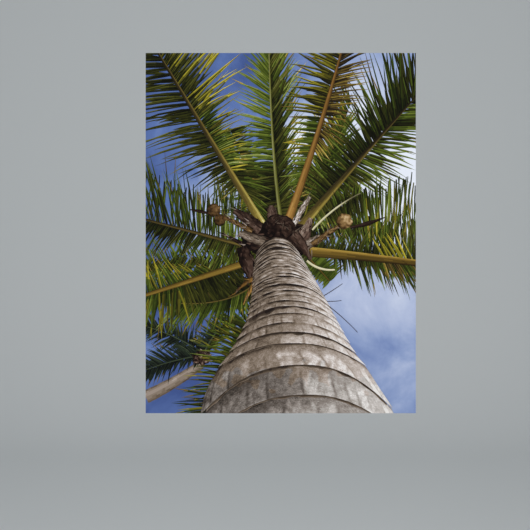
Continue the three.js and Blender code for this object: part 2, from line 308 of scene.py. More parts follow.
FRONDS = {
    "far_frond_upper": frond(
        [(-196, -306), (-258, -262), (-338, -238)], (5, 2), ("far", 0.5, 0.5),
        row("far", "far", 4, (0.0, 215, 44, 0.05, 0.25), (0.5, 208, 56, 0.05, 0.3),
            (1, 200, 50, 0.1, 0.35), width=0.8, stagger=3),
        row("far", "leaf", 4, (0.0, 75, 50, 0.05, 0.3), (0.5, 95, 55, 0.05, 0.35),
            (1, 125, 50, 0.1, 0.4), width=0.8, stagger=3),
    ),
    "far_frond_level": frond(
        [(-200, -310), (-265, -318), (-345, -348)], (5, 2), ("far", 0.4, 0.5),
        row("far", "far", 4.8, (0.0, 240, 34, 0.05, 0.25), (0.5, 242, 52, 0.05, 0.3),
            (1, 250, 70, 0.05, 0.3), width=0.8, stagger=3),
        row("far", "far", 4, (0.0, 130, 50, 0.05, 0.3), (0.5, 144, 66, 0.05, 0.35),
            (1, 155, 60, 0.1, 0.4), width=0.8, stagger=3),
    ),
    "far_frond_right": frond(
        [(-192, -300), (-176, -262), (-132, -214)], (5, 2), ("far", 0.5, 0.5),
        row("far", "leaf", 5, (0.05, 150, 50, 0.1, 0.5), (1, 130, 50, 0.2, 0.5)),
        row("leaf", "green", 5, (0.05, 20, 50, 0.1, 0.5), (1, 10, 60, 0.2, 0.5)),
    ),
    "frond_behind_upper_left": frond(
        [(-24, 46), (-96, 150), (-150, 330)], (6, 3), ("leaf", 0.4, 0.4),
        row("green", "green", 3.8, (0.02, 190, 90, 0.18, 0.4), (0.5, 184, 84, 0.24, 0.5),
            (0.8, 170, 60, 0.26, 0.54), width=0.9, stagger=4),
        row("leaf", "green", 4.5, (0.02, 40, 60, 0.16, 0.36), (0.5, 20, 70, 0.22, 0.46),
            (0.8, 30, 60, 0.26, 0.5)),
        rib_end=0.4,
    ),
    "frond_behind_low_left": frond(
        [(-56, -50), (-180, -66), (-352, -70)], (6, 3), ("leaf", 0.4, 0.4),
        row("leaf", "green", 4, (0.0, 246, 60, 0.28, 0.45), (0.5, 240, 90, 0.3, 0.5),
            (1, 236, 90, 0.3, 0.52), stagger=8),
        row("green", "green", 6, (0.0, 105, 50, 0.3, 0.55), (0.5, 112, 60, 0.28, 0.56),
            (1, 116, 70, 0.26, 0.55), width=0.6, stagger=8),
        rib_end=0.1,
    ),
    "frond_behind_left": frond(
        [(-50, 20), (-176, 104), (-352, 150)], (5, 2), ("leaf", 0.2, 0.2),
        row("leaf", "green", 9, (0.1, 272, 100, 0.14, 0.4), (0.3, 270, 130, 0.12, 0.38),
            (1, 264, 140, 0.1, 0.34), width=0.8, scatter=1.5, stagger=8),
        row("green", "green", 9, (0.1, 273, 110, 0.28, 0.5), (0.3, 271, 140, 0.24, 0.48),
            (1, 265, 150, 0.18, 0.44), width=0.65, scatter=1.5, stagger=12),
        row("green", "lime", 9, (0.1, 88, 70, 0.25, 0.45), (0.45, 90, 70, 0.25, 0.5),
            width=0.55, scatter=2, stagger=10),
        row("green", "green", 9, (0.06, 178, 60, 0.3, 0.5), (0.36, 184, 60, 0.3, 0.5),
            width=0.5, scatter=3, stagger=14),
        row("green", "lime", 4, (0.1, 84, 90, 0.25, 0.46), (0.4, 94, 104, 0.25, 0.46),
            width=0.5, scatter=3, stagger=10),
        rib_end=0.2,
    ),
    "frond_behind_top": frond(
        [(36, 40), (150, 220), (228, 475)], (8, 3), ("leaf", 0.5, 0.4),
        row("green", "lime", 5.4, (0.04, 118, 56, 0.26, 0.5), (0.3, 119, 76, 0.28, 0.56),
            (0.5, 120, 112, 0.26, 0.56), (0.7, 112, 90, 0.24, 0.5), width=0.9),
        row("green", "green", 4.5, (0.02, 20, 90, 0.18, 0.46), (0.4, 45, 110, 0.22, 0.48),
            (0.56, 60, 80, 0.22, 0.5)),
        row("leaf", "leaf", 3.5, (0.0, 160, 60, 0.14, 0.36), (0.3, 140, 80, 0.18, 0.44)),
        row("leaf", "leaf", 2, (0.0, 0, 50, 0.2, 0.38), (0.14, 60, 70, 0.22, 0.4), stagger=8),
        rib_end=0.6,
    ),
    "frond_behind_right": frond(
        [(50, 6), (170, 26), (352, 30)], (7, 3), ("leaf", 0.4, 0.3),
        row("green", "lime", 4, (0.0, 75, 60, 0.24, 0.44), (0.3, 84, 80, 0.26, 0.5),
            (0.55, 88, 70, 0.26, 0.5), width=0.75, stagger=8),
        row("leaf", "green", 3.4, (0.0, 300, 60, 0.12, 0.4), (0.5, 284, 80, 0.12, 0.4),
            (1, 268, 90, 0.15, 0.4), width=0.75, stagger=12),
        rib_end=0.3,
    ),
    "frond_below_right": frond(
        [(48, -40), (104, -96), (146, -150)], (5, 2), ("amber", 0.2, 0.2),
        row("green", "green", 2.6, (0.0, 45, 40, 0.3, 0.42), (0.4, 45, 50, 0.3, 0.45),
            (0.74, 45, 54, 0.3, 0.45), fold=0.04, scatter=2, shortest=0.9),
        row("green", "green", 2.6, (0.0, 225, 34, 0.25, 0.4), (0.74, 225, 26, 0.3, 0.45),
            fold=0.04, scatter=2, shortest=0.8),
        rib_end=0.74,
    ),
    "frond_below_left": frond(
        [(-40, -130), (-92, -290), (-168, -474)], (8, 6), ("leaf", 0.4, 0.4),
        row("green", "lime", 7, (0.15, 112, 110, 0.25, 0.6), (0.4, 138, 100, 0.15, 0.45),
            (0.6, 166, 110, 0.15, 0.4), (1, 187, 130, 0.2, 0.45)),
        row("leaf", "green", 9, (0.3, 152, 110, 0.1, 0.4), (1, 176, 120, 0.12, 0.4)),
    ),
    "frond_top": frond(
        [(0, 38), (-24, 190), (-30, 475)], (10, 2.8), ("leaf", 0.72, 0.78),
        row("leaf", "leaf", 4, (0.02, 184, 90, 0.1, 0.15), (0.3, 183, 115, 0.15, 0.4),
            (0.36, 180, 105, 0.3, 0.5)),
        row("green", "green", 6.6, (0.34, 181, 116, 0.3, 0.5), (0.5, 174, 114, 0.35, 0.6),
            (0.66, 156, 108, 0.42, 0.66), (0.82, 136, 105, 0.48, 0.66), (1, 116, 80, 0.5, 0.6)),
        row("leaf", "green", 3.4, (0.02, 40, 80, 0.2, 0.5), (0.3, 54, 112, 0.2, 0.54),
            (0.6, 62, 142, 0.22, 0.56), (1, 67, 130, 0.3, 0.6), fold=0.14),
        row("leaf", "leaf", 3, (0.0, 214, 70, 0.16, 0.26), (0.12, 194, 90, 0.14, 0.24)),
        row("leaf", "leaf", 2, (0.0, -10, 50, 0.22, 0.38), (0.1, 20, 60, 0.22, 0.38), stagger=6),
    ),
    "frond_top_left": frond(
        [(-46, 21), (-161, 206), (-322, 475)], (21, 5), ("rib", 0.62, 0.04),
        row("leaf", "leaf", 7.4, (0.25, 222, 70, 0.28, 0.52), (0.4, 198, 120, 0.24, 0.52),
            (0.55, 186, 190, 0.18, 0.5), (0.75, 179, 210, 0.14, 0.46),
            (1, 174, 190, 0.1, 0.42), width=0.94, fold=0.13),
        row("leaf", "green", 4.5, (0.12, -40, 60, 0.15, 0.3), (0.24, -14, 80, 0.15, 0.36),
            (0.38, 8, 105, 0.2, 0.45), fold=0.1),
        row("green", "lime", 5.2, (0.34, 6, 58, 0.32, 0.54), (0.5, 28, 86, 0.32, 0.58),
            (0.66, 45, 140, 0.2, 0.54), fold=0.17),
        row("leaf", "lime", 5, (0.64, 45, 140, 0.22, 0.6), (0.8, 55, 206, 0.2, 0.6),
            (1, 61, 230, 0.2, 0.56), width=0.95, fold=0.17),
        shade="right",
    ),
    "frond_left": frond(
        [(-98, -30), (-196, -4), (-350, 36)], (11, 6), ("rib", 0.32, 0.14),
        row("leaf", "green", 4.8, (0.0, 250, 70, 0.34, 0.6), (0.4, 238, 80, 0.16, 0.42),
            (1, 228, 104, 0.06, 0.28), width=0.84, fold=0.12),
        row("leaf", "green", 9, (0.1, 82, 70, 0.16, 0.44), (0.35, 90, 120, 0.12, 0.4),
            (0.6, 98, 170, 0.1, 0.36), (1, 108, 210, 0.1, 0.34), width=0.9, scatter=2),
        row("green", "green", 9, (0.1, 84, 60, 0.36, 0.56), (0.35, 92, 110, 0.3, 0.52),
            (0.6, 100, 160, 0.24, 0.46), (1, 109, 200, 0.18, 0.44), width=0.75, scatter=2),
    ),
    "frond_low_curved": frond(
        [(-66, -128), (-130, -186), (-262, -178)], (4.4, 2.4), ("rib", 0.28, 0.3),
        row("leaf", "leaf", 2.6, (0.0, 150, 90, 0.12, 0.24), (0.5, 132, 96, 0.14, 0.28),
            (1, 112, 80, 0.2, 0.36), fold=0.05),
        row("green", "green", 3.4, (0.1, 268, 70, 0.2, 0.45), (0.5, 250, 90, 0.26, 0.52),
            (1, 222, 96, 0.26, 0.52), fold=0.07),
    ),
    "frond_lower_left": frond(
        [(-84, -74), (-196, -110), (-352, -160)], (19, 9), ("amber", 0.38, 0.28),
        row("leaf", "leaf", 4, (0.1, 312, 40, 0.12, 0.25), (0.4, 300, 70, 0.12, 0.28),
            (0.6, 288, 90, 0.15, 0.32), (0.75, 272, 110, 0.18, 0.36), fold=0.05),
        row("green", "lime", 4, (0.64, 276, 110, 0.22, 0.4), (1, 246, 150, 0.34, 0.5),
            fold=0.07, scatter=7),
        row("green", "lime", 6, (0.35, 150, 50, 0.26, 0.45), (0.6, 128, 80, 0.28, 0.48),
            (1, 104, 100, 0.32, 0.52), width=0.85),
    ),
    "frond_upper_right": frond(
        [(42, 6), (174, 160), (352, 356)], (24, 3), ("rib", 0.54, -0.02),
        row("leaf", "green", 5, (0.2, 132, 60, 0.22, 0.52), (0.4, 136, 110, 0.14, 0.46),
            (0.6, 126, 150, 0.08, 0.35), stagger=3),
        row("leaf", "green", 3.8, (0.6, 122, 120, 0.08, 0.35), (0.7, 112, 176, 0.08, 0.35),
            (0.8, 103, 200, 0.08, 0.34), (1, 98, 210, 0.12, 0.34), stagger=4),
        row("leaf", "green", 5.4, (0.14, 288, 60, 0.32, 0.6), (0.36, 318, 110, 0.3, 0.62),
            (0.52, 334, 130, 0.28, 0.62)),
        row("leaf", "leaf", 9, (0.48, 336, 70, 0.12, 0.32), (0.66, 356, 90, 0.1, 0.3),
            (0.8, 366, 100, 0.1, 0.3), (1, 374, 90, 0.1, 0.3), width=1.2, scatter=3),
        row("leaf", "green", 9, (0.48, 336, 130, 0.16, 0.5), (0.66, 356, 150, 0.15, 0.48),
            (0.8, 366, 160, 0.14, 0.46), (1, 374, 130, 0.12, 0.42), width=1.15, scatter=3),
        row("green", "green", 10, (0.48, 338, 120, 0.32, 0.62), (0.66, 357, 140, 0.3, 0.6),
            (0.8, 366, 150, 0.28, 0.58), (1, 374, 120, 0.25, 0.55), scatter=3),
        shade="right",
    ),
    "frond_old": frond(
        [(16, 24), (92, 230), (158, 475)], (22, 5.4), ("ochre", 0.64, 0.34),
        row("green", "green", 7, (0.24, 186, 60, 0.4, 0.6), (0.44, 178, 70, 0.4, 0.6),
            shortest=0.5),
        row("green", "lime", 7, (0.42, 178, 70, 0.32, 0.5), (0.62, 166, 96, 0.25, 0.46),
            width=1.2, fold=0.12),
        row("lime", "lime", 8, (0.62, 166, 100, 0.16, 0.36), (0.8, 154, 116, 0.15, 0.34),
            (1, 146, 130, 0.18, 0.36), width=1.35, fold=0.15),
        row("old", "old", 8, (0.44, 300, 50, 0.25, 0.5), (0.55, 328, 70, 0.15, 0.45),
            (0.64, 354, 85, 0.05, 0.4), width=0.9, fold=0.16),
        row("old", "old", 6, (0.64, 360, 80, 0.05, 0.45), (0.8, 382, 106, 0.05, 0.4),
            (1, 395, 150, 0.05, 0.4), width=0.9, fold=0.16),
    ),
    "frond_hanging": frond(
        [(80, 8), (190, 130), (352, 136)], (5.5, 1.6), ("pale", 0.66, 0.2),
        row("leaf", "green", 6, (0.25, 110, 40, 0.2, 0.4), (0.5, 90, 40, 0.2, 0.4), stagger=4),
        row("leaf", "green", 3.6, (0.15, 300, 60, 0.2, 0.48), (0.35, 286, 110, 0.2, 0.46),
            (0.56, 276, 140, 0.22, 0.48), width=0.7, stagger=5),
        row("leaf", "green", 9, (0.5, 277, 150, 0.14, 0.4), (0.8, 270, 160, 0.16, 0.4),
            (1, 264, 170, 0.2, 0.45), width=0.8, scatter=2, stagger=10),
        row("green", "green", 9, (0.5, 279, 160, 0.28, 0.5), (0.8, 271, 170, 0.28, 0.5),
            (1, 266, 180, 0.3, 0.5), width=0.7, scatter=2, stagger=14),
        row("green", "lime", 10, (0.5, 276, 150, 0.36, 0.54), (0.8, 270, 160, 0.34, 0.54),
            (1, 264, 170, 0.34, 0.54), width=0.55, scatter=2, stagger=14),
        pale_until=0.28, rib_end=0.5,
    ),
    "frond_right": frond(
        [(64, -47), (200, -58), (352, -77)], (26, 16), ("amber", 0.32, 0.2),
        row("leaf", "green", 4, (0.06, 60, 60, 0.15, 0.35), (0.5, 80, 90, 0.1, 0.35),
            (0.74, 84, 120, 0.1, 0.4), width=0.7, shortest=0.5),
        row("leaf", "green", 4.6, (0.66, 85, 130, 0.14, 0.42), (1, 92, 190, 0.18, 0.48),
            width=0.62, shortest=0.4),
        row("lime", "lime", 9.5, (0.7, 118, 70, 0.35, 0.55), (0.96, 113, 90, 0.4, 0.6)),
        row("leaf", "green", 5, (0.26, 268, 60, 0.2, 0.45), (0.4, 278, 95, 0.18, 0.46),
            (0.6, 292, 105, 0.16, 0.44), (0.8, 302, 112, 0.16, 0.44), (1, 308, 126, 0.16, 0.46),
            width=0.74, shortest=0.5),
        row("leaf", "green", 3.6, (0.46, 282, 60, 0.15, 0.4), (0.85, 298, 90, 0.18, 0.42),
            width=0.8, shortest=0.4),
        row("green", "old", 3, (0.64, 296, 60, 0.2, 0.4), (1, 312, 120, 0.2, 0.4),
            width=0.8, shortest=0.4),
        shade="edge",
    ),
}
# Shares of a leaflet's length, and of its width there.
LEAFLET_STOPS = [(0.0, 0.6), (0.14, 0.95), (0.42, 1.0), (0.72, 0.66), (1.0, 0.05)]
LEAFLET_WIDTH = 5.9
LEAFLET_WIDTHS = (0.6, 1.1)  # narrowest and widest leaflet, against the usual width
LONGEST_LEAFLET = 1.1  # against the usual length
FOLDS = (0.5, 1.4)  # least and most of a row's fold
CLUMP_TURN = 9  # degrees that a clump of leaflets turns from its row's heading
CLUMP_TONE = 0.16
TONE_SCATTER = (0.03, 0.09)  # middle and spread
BEND_SCATTER = 7  # degrees
DROOP = 0.2  # radians that a level leaflet bends down over its length
SHADED = {"width": 1.45, "length": 0.52, "tone": -0.13}  # the leaflets in the shade of the others
SPARSE_ROW = 9  # a row with this spacing or more has no leaflets in the shade
LIFTS = 12  # heights that the leaflets of a row lie at in turn, so that neighbours never coincide
LEAFLET_LIFTS = (0.03, 0.84)
RIB_LIFT = 0.92
BROWN_TIPS = 0.16  # share of the leaflets that end in brown
TURNING_POINTS = (0, 1, 2, 2, 3, 3, 4)  # parts of a leaflet that have the inner palette


def at_share(stations, share):
    """The values between a row's stations at a share of the rib's length."""
    for before, after in zip(stations, stations[1:]):
        if share <= after[0]:
            break
    part = ramp(share, before[0], after[0])
    return [mix(a, b, part) for a, b in zip(before[1:], after[1:])]


def draw_leaflet(ink, root, heading, length, width, turn, look, lift):
    """A blade folded along its midrib: its upper half catches more light, and its root lies in
    the shade of the rib."""
    palettes, root_tone, tip_tone, fold = look
    spine = [root]
    for (before, _), (after, _) in zip(LEAFLET_STOPS, LEAFLET_STOPS[1:]):
        here = heading + turn * (before + after) / 2
        spine.append(step_from(spine[-1], here, length * (after - before)))
    points = []
    for (share, wide), point in zip(LEAFLET_STOPS, spine):
        across = heading + turn * share + math.pi / 2
        points.append((step_from(point, across, width * wide / 2), point,
                       step_from(point, across, -width * wide / 2)))
    upward = 1 if math.cos(heading) > 0 else -1
    for index, (near, far) in enumerate(zip(points, points[1:])):
        tone = mix(root_tone, tip_tone, index / 3)
        bright, dim = tone + fold * upward, tone - fold * upward
        ink.add([near[0], near[1], far[1], far[0]], palettes[index], bright, lift)
        ink.add([near[1], near[2], far[2], far[1]], palettes[index], dim, lift)


def leaflet_palettes(leaves, chance):
    """The palettes along a leaflet, which turns from the inner to the outer one somewhere."""
    turning = chance.choice(TURNING_POINTS)
    palettes = [leaves["inner"]] * turning + [leaves["outer"]] * (4 - turning)
    if chance.random() < BROWN_TIPS:
        palettes[3] = "old"
    return palettes


def draw_leaflets(ink, rib, leaves, chance, lifts, shaded):
    """A row of leaflets, close together along its rib, in loose clumps. The shaded ones are the
    shorter, wider and darker leaflets that fill the gaps near the rib."""
    stations = leaves["stations"]
    first, last = stations[0][0], stations[-1][0]
    count = round(path_length(rib) * (last - first) / leaves["spacing"])
    clump = chance.uniform(0, 90)
    for i in range(count):
        share = mix(first, last, (i + chance.random()) / count)
        root, way = along(rib, share)
        root = step_from(root, way + math.pi / 2, chance.gauss(0, leaves["stagger"]))
        heading, length, root_tone, tip_tone = at_share(stations, share)
        heading += chance.gauss(0, leaves["scatter"])
        heading += CLUMP_TURN * lump(share * count, clump, 5, 1)
        heading = math.radians(heading)
        droop = math.radians(chance.gauss(0, BEND_SCATTER)) - DROOP * math.cos(heading)
        shade = chance.gauss(*TONE_SCATTER) + CLUMP_TONE * lump(share * count, clump, 4, 2)
        width = LEAFLET_WIDTH * leaves["width"] * chance.uniform(*LEAFLET_WIDTHS)
        fold = leaves["fold"] * chance.uniform(*FOLDS)
        reach = length * chance.uniform(leaves["shortest"], LONGEST_LEAFLET)
        palettes = leaflet_palettes(leaves, chance)
        if shaded:
            width *= SHADED["width"]
            reach *= SHADED["length"]
            shade += SHADED["tone"]
            palettes = [leaves["inner"]] * 4
        look = (palettes, root_tone + shade, tip_tone + shade, fold)
        lift = mix(*lifts, (i % LIFTS) / LIFTS)
        draw_leaflet(ink, root, heading, reach, width, droop, look, lift)


# A round stalk's tones across its width, from its left edge to its right as seen from its foot,
# where the light comes from its left, from its right, or lies along its left edge alone.
ROUND_SHADE = [-0.14, 0.02, 0.1, 0.06, 0.0, -0.05, -0.12, -0.22]
RIB_SHADES = {
    "left": ROUND_SHADE,
    "right": [-0.16, -0.12, -0.08, -0.06, 0.0, 0.1, 0.24, 0.14],
    "edge": [0.28, 0.2, 0.02, -0.04, -0.02, -0.06, -0.12, -0.2],
}


TONE_CURVE = 0.55  # below 1, a stalk's tone changes faster near its foot
TURN_SHARPNESS = 8


def draw_band(ink, path, width_at, look, shades, lift=0.5, steps=40, grain=0.06, seed=1,
              end=1.0, pale_until=None):
    """A stalk or a sheath, as strips that run along it. Its tone changes steadily from its foot to
    its tip, or all at once at a share of its length."""
    palette, foot_tone, tip_tone = look
    strips = len(shades)

    def turned_at(share):
        if pale_until is None:
            return share**TONE_CURVE
        return clamp(TURN_SHARPNESS * (share - pale_until))

    for i in range(steps):
        near_share, far_share = end * i / steps, end * (i + 1) / steps
        near, near_way = along(path, near_share)
        far, far_way = along(path, far_share)
        near_width, far_width = width_at(near_share), width_at(far_share)
        tone = mix(foot_tone, tip_tone, turned_at(near_share))
        for strip, shade in enumerate(shades):
            low, high = 0.5 - strip / strips, 0.5 - (strip + 1) / strips
            corners = [
                step_from(near, near_way + math.pi / 2, low * near_width),
                step_from(near, near_way + math.pi / 2, high * near_width),
                step_from(far, far_way + math.pi / 2, high * far_width),
                step_from(far, far_way + math.pi / 2, low * far_width),
            ]
            rough = grain * lump(near_share * 30, strip * 7, 4, seed)
            ink.add(corners, palette, tone + shade + rough, lift)


def build_frond(name, seed):
    """A frond's leaflets, the shaded ones first and so underneath, and its rib over them."""
    plan = FRONDS[name]
    chance = random.Random(seed)
    leaflets = Ink(name)
    rows = [(leaves, True) for leaves in plan["rows"] if leaves["spacing"] < SPARSE_ROW]
    rows += [(leaves, False) for leaves in plan["rows"]]
    for order, (leaves, shaded) in enumerate(rows):
        lifts = [mix(*LEAFLET_LIFTS, (order + part) / len(rows)) for part in (0, 1)]
        draw_leaflets(leaflets, plan["rib"], leaves, chance, lifts, shaded)
    leaflets.piece(f"{name}_leaflets", frame_slots[name])
    rib = Ink(name)
    foot, tip = plan["width"]
    draw_band(rib, plan["rib"], lambda share: mix(foot, tip, share), plan["look"],
              RIB_SHADES[plan["shade"]], RIB_LIFT, seed=seed, end=plan["rib_end"],
              pale_until=plan["pale_until"])
    rib.piece(f"{name}_rib", "stalk_ink")


# Crown

# Sheaths, stalks and blades that lie along a bend: path, widths at its start, middle and end,
# palette, tones at both ends, grain, and how many loose fibres stand off it.
STRIPS = {
    "far_trunk": (
        [(-343, -416), (-280, -388), (-202, -334)], (34, 29, 22), "bark", 0.56, 0.54, 0.18, 0),
    "sheath_shadow": (
        [(-78, -38), (-118, -16), (-154, 1)], (14, 9, 2), "fibre", 0.1, 0.2, 0.2, 16),
    "sheath_upper_left": (
        [(-50, 10), (-84, 34), (-118, 58)], (30, 30, 14), "fibre", 0.46, 0.38, 0.6, 22),
    "sheath_left": (
        [(-40, -22), (-76, -12), (-106, 0)], (26, 22, 14), "bark", 0.36, 0.46, 0.5, 20),
    "sheath_dark": (
        [(-98, -34), (-86, -70), (-70, -128)], (30, 38, 14), "fibre", 0.14, 0.4, 0.7, 20),
    "sheath_right": (
        [(46, -34), (64, 2), (76, 38)], (34, 28, 12), "fibre", 0.55, 0.75, 0.6, 22),
    "sheath_knob": (
        [(58, -34), (82, -24), (100, -8)], (20, 24, 12), "bark", 0.42, 0.56, 0.5, 18),
    "fibre_skirt": (
        [(16, 6), (52, -16), (76, -68)], (34, 28, 8), "fibre", 0.38, 0.5, 0.4, 20),
    "nub": (
        [(-18, 30), (-23, 52), (-24, 70)], (28, 25, 12), "fibre", 0.5, 0.6, 0.3, 14),
    "flower_stalk": (
        [(32, 20), (50, 56), (74, 92)], (13, 15, 9), "bark", 0.82, 0.6, 0.9, 18),
    "nut_stalk_left": (
        [(-72, 6), (-112, 24), (-152, 46)], (16, 12, 6), "husk", 0.3, 0.34, 0.7, 20),
    "nut_stalk_right": (
        [(80, -30), (110, -6), (152, 20)], (18, 15, 8), "husk", 0.34, 0.4, 0.7, 22),
    "flower_spike_left": (
        [(-182, 50), (-206, 56), (-232, 60)], (5, 9, 2), "fibre", 0.3, 0.2, 0.2, 0),
    "flower_spike_right": (
        [(176, 14), (222, 22), (264, 40)], (6, 12, 2), "fibre", 0.35, 0.2, 0.2, 0),
    "dead_blade_upper": (
        [(-70, -116), (-98, -130), (-118, -154)], (14, 9, 2), "ochre", 0.4, 0.28, 0.3, 10),
    "dead_blade_lower": (
        [(-68, -130), (-84, -154), (-95, -182)], (12, 9, 2), "ochre", 0.52, 0.58, 0.3, 10),
    "curled_stalk": (
        [(66, -70), (96, -97), (137, -93)], (6, 6, 4), "pale", 0.66, 0.74, 0.1, 0),
}
STRIP_STEP = 2.5  # millimetres along a strip between its changes of tone
STRIP_GRAIN = 0.6  # how much of the grain goes into the tone
STRIP_UNEVENNESS = 0.25  # and how much into the width
FRAY_LIFTS = (0.56, 0.96)
FRAY_LENGTHS = (8, 24)
FRAY_WIDTHS = (1.0, 3.0)
FRAY_SPREAD = 0.45  # radians
EDGE_TONES = (0.1, 0.25, 0.45, 0.6)  # of the fibres that stand off a strip
OVER_TONES = (0.04, 0.14, 0.24, 0.34)  # of the fibres that run over a round piece


def draw_frays(ink, path, width, palette, chance, count, tones=EDGE_TONES):
    """Loose fibres and splinters along a bend, which point mostly forward."""
    for i in range(count):
        point, way = along(path, chance.uniform(0.1, 1))
        root = step_from(point, way + math.pi / 2, width * chance.uniform(-0.5, 0.5))
        heading = way + chance.gauss(0, FRAY_SPREAD)
        tip = step_from(root, heading, chance.uniform(*FRAY_LENGTHS))
        thick = chance.uniform(*FRAY_WIDTHS)
        across = heading + math.pi / 2
        corners = [step_from(root, across, thick / 2), tip, step_from(root, across, -thick / 2)]
        tone = chance.choice(tones) + chance.gauss(0, 0.06)
        ink.add(corners, chance.choice((palette, "fibre", "bark")), tone,
                mix(*FRAY_LIFTS, i / count))


def build_strip(name, seed):
    """A sheath, a stalk or a blade with uneven edges, and its loose fibres."""
    path, widths, palette, foot_tone, tip_tone, grain, frays = STRIPS[name]
    ink = Ink(name)
    length = path_length(path)

    def width_at(share):
        rough = STRIP_UNEVENNESS * grain * lump(share * length, seed, 5, 8)
        return mix_three(*widths, share) * (1 + rough)

    draw_band(ink, path, width_at, (palette, foot_tone, tip_tone), ROUND_SHADE,
              steps=round(length / STRIP_STEP), grain=grain * STRIP_GRAIN, seed=seed)
    draw_frays(ink, path, widths[1], palette, random.Random(seed), frays)
    ink.piece(f"{name}_drawn", frame_slots[name])


# Round pieces: centre, half width and half height, palette, middle tone, grain, how much lighter
# the lit side is, and how many loose fibres run over it.
ROUNDS = {
    "far_crown": ((-200, -316), (25, 21), "fibre", 0.45, 0.9, 0.1, 30),
    "crown_shade": ((-4, -18), (92, 44), "fibre", 0.24, 0.7, 0.06, 0),
    "crown_fibre": ((-6, 14), (42, 33), "fibre", 0.27, 0.36, 0.14, 60),
    "coconut_lower": ((-155, 33), (15, 15), "husk", 0.26, 0.3, 0.1, 0),
    "coconut_upper": ((-170, 58), (17, 17), "husk", 0.3, 0.3, 0.16, 0),
    "coconut_right": ((162, 30), (20, 20), "husk", 0.62, 0.4, 0.2, 0),
}
LIGHT_HEADING = math.radians(40)
ROUND_RINGS, ROUND_SECTORS = 9, 36
RIM_DARKER = 0.25


def build_round(name, seed):
    """A round body: lighter towards the light, dark at its rim, with fibres over it."""
    (x, z), (across, up), palette, middle, grain, contrast, frays = ROUNDS[name]
    ink = Ink(name)
    rings, sectors = ROUND_RINGS, ROUND_SECTORS
    rim = [1 + 0.4 * grain * lump(i, seed, 1.7, seed) for i in range(sectors)]

    def corner(ring, sector):
        angle = math.tau * (sector % sectors) / sectors
        reach = ring / rings * rim[sector % sectors]
        return (x + across * reach * math.cos(angle), z + up * reach * math.sin(angle))

    for ring in range(rings):
        out = (ring + 0.5) / rings
        for sector in range(sectors):
            angle = math.tau * (sector + 0.5) / sectors
            lit = contrast * out * math.cos(angle - LIGHT_HEADING)
            px, pz = corner(ring + 0.5, sector)
            tone = middle + lit - RIM_DARKER * out**6 + grain * lump(px, pz, 6, seed)
            outer = [corner(ring + 1, sector + 1), corner(ring + 1, sector)]
            inner = [corner(ring, sector), corner(ring, sector + 1)] if ring else [(x, z)]
            ink.add(inner + outer, palette, tone)
    over = [(x - across, z - up / 2), (x, z + 1.7 * up), (x + across, z - up / 2)]
    draw_frays(ink, over, 0.7 * up, palette, random.Random(seed), frays, OVER_TONES)
    ink.piece(f"{name}_drawn", frame_slots[name])


# Trunk

# The trunk swells at its base, and leans left towards the crown. Each station has the height of a
# ring's ends, the trunk's left and right edge there, how far the ring arches up between them, and
# how much its right end lies above its middle.
TRUNK_STATIONS = [
    (-640, -230, 350, 140, 8),
    (-540, -214, 318, 132, 8),
    (-450, -200, 279, 118, 8),
    (-400, -190, 250, 92, 6),
    (-345, -160, 218, 62, 2),
    (-300, -126, 187, 53, -2),
    (-230, -88, 150, 45, -6),
    (-166, -75, 115, 37, -4),
    (-106, -70, 83, 41, -5),
    (-52, -61, 51, 41, -6),
    (0, -52, 22, 40, -6),
]
TRUNK_TOP = -12
ARCH_POWER = 2.3

# The broad ring scars: the height of the crest, thickness at the left end, middle and right end,
# and tone.
SCARS = [
    (-128, (3, 8, 1.5), 0.0),
    (-185, (18, 6, 1.5), 0.0),
    (-250, (6, 9, 4), 0.06),
    (-279, (3, 6, 3), 0.14),
    (-334, (8, 9, 6), 0.12),
    (-410, (5, 7, 5), 0.2),
]
SCAR_REACH = 0.95
SCAR_SOFTNESS = [(0.0, 0.12), (0.15, 0.0), (0.55, 0.06), (0.78, 0.2), (1.0, 0.32)]
LOWEST_RING = -480
RING_GAP = 7  # millimetres between the fine rings at the crown
BROAD_RING = 45  # millimetres of bark between two rings
BLOCK_SHARE = 0.24  # width of a block of bark, as a share of the trunk's half width
BLOCK_SHADES = [(-0.4, 0.4, 0.9, 1.1), (-0.2, 0.9, 1.1, 1.3)]  # on a narrow ring, and a broad one
TRUNK_COLUMNS = 190
ROW_HEIGHTS = (1.0, 1.8)  # millimetres, at the crown and at the foot
FLARE_SHARE, FLARE_MOST = 0.14, 3.5  # of a ring's height, and in millimetres

# The bark's tone, and what its parts add to it or take away, at the crown and at the foot.
BARK_MIDDLE = (0.41, 0.45)
RING_CRACK = (0.9, 0.5)
RING_LIP = (0.2, 0.08)
LIT_SIDE = (0.31, 0.34)
FIBRES = (0.36, 0.05)
PALE_BLOCK = 0.18
UPRIGHT_CRACK = 0.22
FOOT_SHADE, LEFT_SHADE, LEFT_PATCH, CROWN_SHADE = 0.055, 0.1, 0.16, 0.14

# Loose fibres that stand out from the trunk's right edge.
TWIG_WIDTHS = (1.8, 1.1)
TWIGS = [
    [(104, -162), (132, -146), (157, -128)],
    [(112, -173), (134, -174), (154, -171)],
    [(120, -184), (162, -216), (195, -252)],
]


